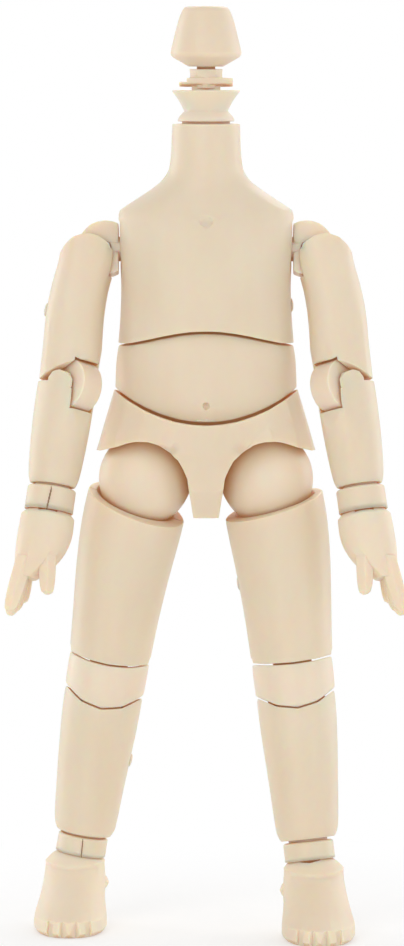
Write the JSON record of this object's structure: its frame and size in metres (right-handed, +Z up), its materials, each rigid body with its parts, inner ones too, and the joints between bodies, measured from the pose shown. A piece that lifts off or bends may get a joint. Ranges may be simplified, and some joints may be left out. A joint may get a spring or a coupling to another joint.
{
  "type": "jointed doll",
  "caption": "Standing jointed doll body of hard plastic, with a plug on the neck for a separate head and pinned, turning and ball joints from neck to ankles.",
  "frame": {"origin": "on the ground under the middle of the doll's outline", "axes": "+Z up, the doll faces -Y, and its left side is towards +X"},
  "size_m": [0.0476, 0.026, 0.1101],
  "materials": {
    "casing_plastic": "satin",
    "joint_plastic": "satin",
    "soft_plastic": "soft matte",
    "pin_steel": "drawn wire"
  },
  "bodies": {
    "pelvis": {"pelvis_front": "casing_plastic", "pelvis_back": "casing_plastic", "waist_post": "joint_plastic"},
    "belly": {"belly_front": "casing_plastic", "belly_back": "casing_plastic", "waist_pin": "pin_steel", "chest_pin": "pin_steel"},
    "chest_post": {"chest_post": "joint_plastic"},
    "chest": {"chest_front": "casing_plastic", "chest_back": "casing_plastic"},
    "neck": {"neck_joint": "joint_plastic", "head_hinge_pin": "pin_steel"},
    "head_stem": {"head_stem": "joint_plastic"},
    "head_plug": {"head_plug": "casing_plastic"},
    "left_shoulder": {"left_shoulder_joint": "joint_plastic"},
    "left_upper_arm": {"left_upper_arm_front": "casing_plastic", "left_upper_arm_back": "casing_plastic", "left_elbow_disc": "joint_plastic", "left_shoulder_pin": "pin_steel"},
    "left_forearm": {"left_forearm_front": "casing_plastic", "left_forearm_back": "casing_plastic", "left_elbow_pin": "pin_steel"},
    "left_wrist": {"left_wrist_cuff": "casing_plastic"},
    "left_hand": {"left_hand": "soft_plastic"},
    "left_hip": {"left_hip_ball": "joint_plastic", "left_hip_pin": "pin_steel"},
    "left_hip_peg": {"left_hip_peg": "joint_plastic"},
    "left_thigh": {"left_thigh_front": "casing_plastic", "left_thigh_back": "casing_plastic", "left_upper_knee_pin": "pin_steel"},
    "left_knee": {"left_knee_joint": "joint_plastic"},
    "left_shin": {"left_shin_front": "casing_plastic", "left_shin_back": "casing_plastic", "left_lower_knee_pin": "pin_steel"},
    "left_ankle_collar": {"left_ankle_collar": "casing_plastic"},
    "left_ankle_ball": {"left_ankle_ball": "joint_plastic"},
    "left_foot": {"left_foot": "soft_plastic"},
    "right_shoulder": {"right_shoulder_joint": "joint_plastic"},
    "right_upper_arm": {"right_upper_arm_front": "casing_plastic", "right_upper_arm_back": "casing_plastic", "right_elbow_disc": "joint_plastic", "right_shoulder_pin": "pin_steel"},
    "right_forearm": {"right_forearm_front": "casing_plastic", "right_forearm_back": "casing_plastic", "right_elbow_pin": "pin_steel"},
    "right_wrist": {"right_wrist_cuff": "casing_plastic"},
    "right_hand": {"right_hand": "soft_plastic"},
    "right_hip": {"right_hip_ball": "joint_plastic", "right_hip_pin": "pin_steel"},
    "right_hip_peg": {"right_hip_peg": "joint_plastic"},
    "right_thigh": {"right_thigh_front": "casing_plastic", "right_thigh_back": "casing_plastic", "right_upper_knee_pin": "pin_steel"},
    "right_knee": {"right_knee_joint": "joint_plastic"},
    "right_shin": {"right_shin_front": "casing_plastic", "right_shin_back": "casing_plastic", "right_lower_knee_pin": "pin_steel"},
    "right_ankle_collar": {"right_ankle_collar": "casing_plastic"},
    "right_ankle_ball": {"right_ankle_ball": "joint_plastic"},
    "right_foot": {"right_foot": "soft_plastic"}
  },
  "joints": [
    {"name": "waist_bend", "type": "hinge", "parent": "pelvis", "child": "belly", "pos_m": [0, 0.00478, 0.06418], "axis": [1, 0, 0], "range_deg": [-4, 4]},
    {"name": "chest_bend", "type": "hinge", "parent": "belly", "child": "chest_post", "pos_m": [0, 0.00478, 0.06798], "axis": [1, 0, 0], "range_deg": [-4, 4]},
    {"name": "chest_turn", "type": "hinge", "parent": "chest_post", "child": "chest", "pos_m": [0, 0.00478, 0.06798], "axis": [0, 0, 1], "range_deg": [-8, 8]},
    {"name": "neck_turn", "type": "hinge", "parent": "chest", "child": "neck", "pos_m": [0, 0.00478, 0.09608], "axis": [0, 0, 1], "range_deg": [-80, 80]},
    {"name": "head_nod", "type": "hinge", "parent": "neck", "child": "head_stem", "pos_m": [0, 0.00478, 0.09938], "axis": [1, 0, 0], "range_deg": [-20, 20]},
    {"name": "head_turn", "type": "hinge", "parent": "head_stem", "child": "head_plug", "pos_m": [0, 0.00478, 0.10288], "axis": [0, 0, 1], "range_deg": [-90, 90]},
    {"name": "left_shoulder_swing", "type": "hinge", "parent": "chest", "child": "left_shoulder", "pos_m": [0.012, 0.00478, 0.08118], "axis": [-1, 0, 0], "range_deg": [-50, 160]},
    {"name": "left_shoulder_raise", "type": "hinge", "parent": "left_shoulder", "child": "left_upper_arm", "pos_m": [0.012, 0.00478, 0.08118], "axis": [0, -0.9781, 0.2079], "range_deg": [-4, 75]},
    {"name": "left_elbow_bend", "type": "hinge", "parent": "left_upper_arm", "child": "left_forearm", "pos_m": [0.01549, 0.00028, 0.06509], "axis": [-0.7002, 0.6712, -0.2433], "range_deg": [0, 95]},
    {"name": "left_wrist_turn", "type": "hinge", "parent": "left_forearm", "child": "left_wrist", "pos_m": [0.01821, -0.00112, 0.05339], "axis": [-0.1392, 0.2059, 0.9686], "range_deg": [-80, 80]},
    {"name": "left_wrist_flex", "type": "hinge", "parent": "left_wrist", "child": "left_hand", "pos_m": [0.01905, -0.00236, 0.04757], "axis": [-0.9903, -0.0289, -0.1361], "range_deg": [-20, 20]},
    {"name": "left_hip_swing", "type": "hinge", "parent": "pelvis", "child": "left_hip", "pos_m": [0.0073, 0.00478, 0.05378], "axis": [-1, 0, 0], "range_deg": [-15, 55]},
    {"name": "left_hip_spread", "type": "hinge", "parent": "left_hip", "child": "left_hip_peg", "pos_m": [0.0073, 0.00478, 0.05378], "axis": [0, -0.9916, 0.1294], "range_deg": [-4, 18]},
    {"name": "left_hip_twist", "type": "hinge", "parent": "left_hip_peg", "child": "left_thigh", "pos_m": [0.0073, 0.00478, 0.05378], "axis": [-0.1115, 0.1286, 0.9854], "range_deg": [-30, 30]},
    {"name": "left_knee_upper", "type": "hinge", "parent": "left_thigh", "child": "left_knee", "pos_m": [0.01009, 0.00214, 0.03353], "axis": [0.9938, 0.0144, 0.1105], "range_deg": [0, 45]},
    {"name": "left_knee_lower", "type": "hinge", "parent": "left_knee", "child": "left_shin", "pos_m": [0.01085, 0.00127, 0.02683], "axis": [0.9938, 0.0144, 0.1105], "range_deg": [0, 38]},
    {"name": "left_ankle_turn", "type": "hinge", "parent": "left_shin", "child": "left_ankle_collar", "pos_m": [0.01282, -0.00158, 0.005], "axis": [-0.1115, 0.1286, 0.9854], "range_deg": [-30, 30]},
    {"name": "left_ankle_roll", "type": "hinge", "parent": "left_ankle_collar", "child": "left_ankle_ball", "pos_m": [0.01282, -0.00158, 0.005], "axis": [0, -0.9916, 0.1294], "range_deg": [-3, 8]},
    {"name": "left_foot_flex", "type": "hinge", "parent": "left_ankle_ball", "child": "left_foot", "pos_m": [0.01282, -0.00158, 0.005], "axis": [-1, 0, 0], "range_deg": [-12, 12]},
    {"name": "right_shoulder_swing", "type": "hinge", "parent": "chest", "child": "right_shoulder", "pos_m": [-0.012, 0.00478, 0.08118], "axis": [-1, 0, 0], "range_deg": [-50, 160]},
    {"name": "right_shoulder_raise", "type": "hinge", "parent": "right_shoulder", "child": "right_upper_arm", "pos_m": [-0.012, 0.00478, 0.08118], "axis": [0, 0.9781, -0.2079], "range_deg": [-4, 75]},
    {"name": "right_elbow_bend", "type": "hinge", "parent": "right_upper_arm", "child": "right_forearm", "pos_m": [-0.01549, 0.00028, 0.06509], "axis": [-0.7002, -0.6712, 0.2433], "range_deg": [0, 95]},
    {"name": "right_wrist_turn", "type": "hinge", "parent": "right_forearm", "child": "right_wrist", "pos_m": [-0.01821, -0.00112, 0.05339], "axis": [-0.1392, -0.2059, -0.9686], "range_deg": [-80, 80]},
    {"name": "right_wrist_flex", "type": "hinge", "parent": "right_wrist", "child": "right_hand", "pos_m": [-0.01905, -0.00236, 0.04757], "axis": [-0.9903, 0.0289, 0.1361], "range_deg": [-20, 20]},
    {"name": "right_hip_swing", "type": "hinge", "parent": "pelvis", "child": "right_hip", "pos_m": [-0.0073, 0.00478, 0.05378], "axis": [-1, 0, 0], "range_deg": [-15, 55]},
    {"name": "right_hip_spread", "type": "hinge", "parent": "right_hip", "child": "right_hip_peg", "pos_m": [-0.0073, 0.00478, 0.05378], "axis": [0, 1, 0], "range_deg": [-4, 18]},
    {"name": "right_hip_twist", "type": "hinge", "parent": "right_hip_peg", "child": "right_thigh", "pos_m": [-0.0073, 0.00478, 0.05378], "axis": [-0.1702, 0, -0.9854], "range_deg": [-30, 30]},
    {"name": "right_knee_upper", "type": "hinge", "parent": "right_thigh", "child": "right_knee", "pos_m": [-0.0113, 0.00478, 0.03356], "axis": [0.9854, 0, -0.1702], "range_deg": [0, 45]},
    {"name": "right_knee_lower", "type": "hinge", "parent": "right_knee", "child": "right_shin", "pos_m": [-0.01246, 0.00478, 0.02686], "axis": [0.9854, 0, -0.1702], "range_deg": [0, 38]},
    {"name": "right_ankle_turn", "type": "hinge", "parent": "right_shin", "child": "right_ankle_collar", "pos_m": [-0.01572, 0.00478, 0.005], "axis": [-0.1702, 0, -0.9854], "range_deg": [-30, 30]},
    {"name": "right_ankle_roll", "type": "hinge", "parent": "right_ankle_collar", "child": "right_ankle_ball", "pos_m": [-0.01572, 0.00478, 0.005], "axis": [0, 1, 0], "range_deg": [-3, 8]},
    {"name": "right_foot_flex", "type": "hinge", "parent": "right_ankle_ball", "child": "right_foot", "pos_m": [-0.01572, 0.00478, 0.005], "axis": [-1, 0, 0], "range_deg": [-12, 12]}
  ]
}
